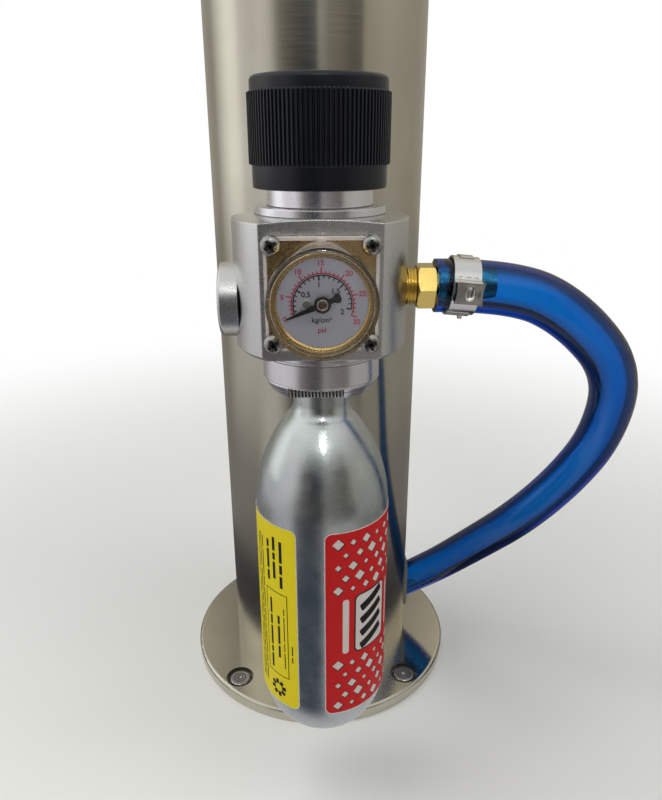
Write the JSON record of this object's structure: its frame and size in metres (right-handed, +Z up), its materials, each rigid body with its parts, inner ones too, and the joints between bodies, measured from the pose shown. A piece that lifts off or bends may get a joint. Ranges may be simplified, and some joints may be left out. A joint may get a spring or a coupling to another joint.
{
  "type": "draft beer tower with gas regulator",
  "caption": "Round steel draft tower on a flange, with a lever tap on one side and a mini regulator, gauge, gas cartridge and blue hose on the other",
  "frame": {"origin": "column axis on the underside of the base flange", "axes": "+Z up along the column, -Y towards the regulator and its gauge, +Y towards the tap spout, +X towards the gas outlet and hose"},
  "size_m": [0.1592, 0.247, 0.405],
  "materials": {
    "brushed_stainless": "brushed, vertical grain on the column",
    "bright_stainless": "bright turned stainless",
    "polished_chrome": "polished chrome plate",
    "satin_aluminium": "fine bead-blasted, satin",
    "galvanised_steel": "zinc-plated drawn steel",
    "zinc_steel": "zinc-plated fasteners",
    "spring_steel": "hard-drawn wire",
    "machined_brass": "bright machined brass",
    "black_plastic": "satin moulded plastic",
    "black_gloss_plastic": "gloss moulded handle",
    "nylon": "natural nylon",
    "seal_rubber": "black nitrile",
    "blue_tube": "translucent blue polyurethane",
    "clear_cover": "clear polycarbonate",
    "dial_print": "silkscreened aluminium dial",
    "pointer_black": "matt black paint",
    "red_film": "printed film label",
    "yellow_film": "printed film label"
  },
  "bodies": {
    "tower": {"base_flange": "brushed_stainless", "tower_column": "brushed_stainless", "tower_cap": "brushed_stainless", "flange_screws": "bright_stainless", "gauge_screws": "bright_stainless", "ear_clamp": "bright_stainless", "mount_standoff": "bright_stainless", "cartridge_socket": "bright_stainless", "bonnet_neck": "bright_stainless", "tap_shank": "polished_chrome", "coupling_nut": "polished_chrome", "faucet_body": "polished_chrome", "faucet_bonnet": "polished_chrome", "regulator_body": "satin_aluminium", "mount_bolt": "zinc_steel", "mount_washer": "zinc_steel", "shank_nut": "zinc_steel", "diaphragm_plate": "zinc_steel", "piercing_pin": "zinc_steel", "movement_plate": "zinc_steel", "range_spring": "spring_steel", "valve_spring": "spring_steel", "button_spring": "spring_steel", "gauge_case": "machined_brass", "outlet_fitting": "machined_brass", "tail_piece": "machined_brass", "tail_nut": "machined_brass", "bourdon_tube": "machined_brass", "shank_collar": "black_plastic", "ball_washer": "nylon", "shank_washer": "nylon", "hose_grommet": "seal_rubber", "diaphragm": "seal_rubber", "socket_seal": "seal_rubber", "faucet_gasket": "seal_rubber", "tail_washer": "seal_rubber", "gas_hose": "blue_tube", "gauge_window": "clear_cover", "gauge_dial": "dial_print"},
    "knob": {"pressure_knob": "black_plastic", "adjusting_screw": "zinc_steel"},
    "spring_nut": {"spring_seat": "machined_brass"},
    "pointer": {"gauge_pointer": "pointer_black", "pointer_arbor": "zinc_steel"},
    "sector": {"sector_gear": "machined_brass"},
    "poppet": {"valve_poppet": "zinc_steel"},
    "button": {"purge_button": "satin_aluminium"},
    "cartridge": {"gas_cartridge": "galvanised_steel", "label_red": "red_film", "label_yellow": "yellow_film"},
    "lever": {"tap_lever": "polished_chrome", "handle_ferrule": "polished_chrome", "tap_handle": "black_gloss_plastic"},
    "plunger": {"tap_plunger": "machined_brass", "plunger_seal": "seal_rubber"}
  },
  "joints": [
    {"name": "pressure_knob_turn", "type": "hinge", "parent": "tower", "child": "knob", "pos_m": [0, -0.0793, 0.1991], "axis": [0, 0, 1], "range_deg": [-1440, 0]},
    {"name": "spring_nut_travel", "type": "slide", "parent": "tower", "child": "spring_nut", "axis": [0, 0, -1], "range_m": [0, 0.004], "deforming": ["range_spring"]},
    {"name": "valve_poppet_lift", "type": "slide", "parent": "tower", "child": "poppet", "axis": [0, 0, -1], "range_m": [0, 0.0006], "stiffness_N_per_m": 200, "deforming": ["valve_spring"]},
    {"name": "purge_button_press", "type": "slide", "parent": "tower", "child": "button", "axis": [1, 0, 0], "range_m": [0, 0.002], "stiffness_N_per_m": 800, "deforming": ["button_spring"]},
    {"name": "gauge_pointer_turn", "type": "hinge", "parent": "tower", "child": "pointer", "pos_m": [0, -0.0968, 0.18145], "axis": [0, 1, 0], "range_deg": [0, 225]},
    {"name": "sector_turn", "type": "hinge", "parent": "tower", "child": "sector", "pos_m": [-0.0065, -0.0968, 0.18145], "axis": [0, 1, 0], "range_deg": [-70, 0]},
    {"name": "cartridge_removal", "type": "slide", "parent": "tower", "child": "cartridge", "axis": [0, 0, -1], "range_m": [0, 0.028]},
    {"name": "tap_lever_tilt", "type": "hinge", "parent": "tower", "child": "lever", "pos_m": [0, 0.0881, 0.299], "axis": [-1, 0, 0], "range_deg": [0, 25]},
    {"name": "tap_plunger_slide", "type": "slide", "parent": "tower", "child": "plunger", "axis": [0, -1, 0], "range_m": [0, 0.00425]}
  ],
  "couplings": [
    {"joint": "spring_nut_travel", "follows": "pressure_knob_turn", "m_per_rad": -0.00015915},
    {"joint": "sector_turn", "follows": "gauge_pointer_turn", "ratio": -0.30303},
    {"joint": "tap_plunger_slide", "follows": "tap_lever_tilt", "m_per_rad": 0.009694}
  ]
}
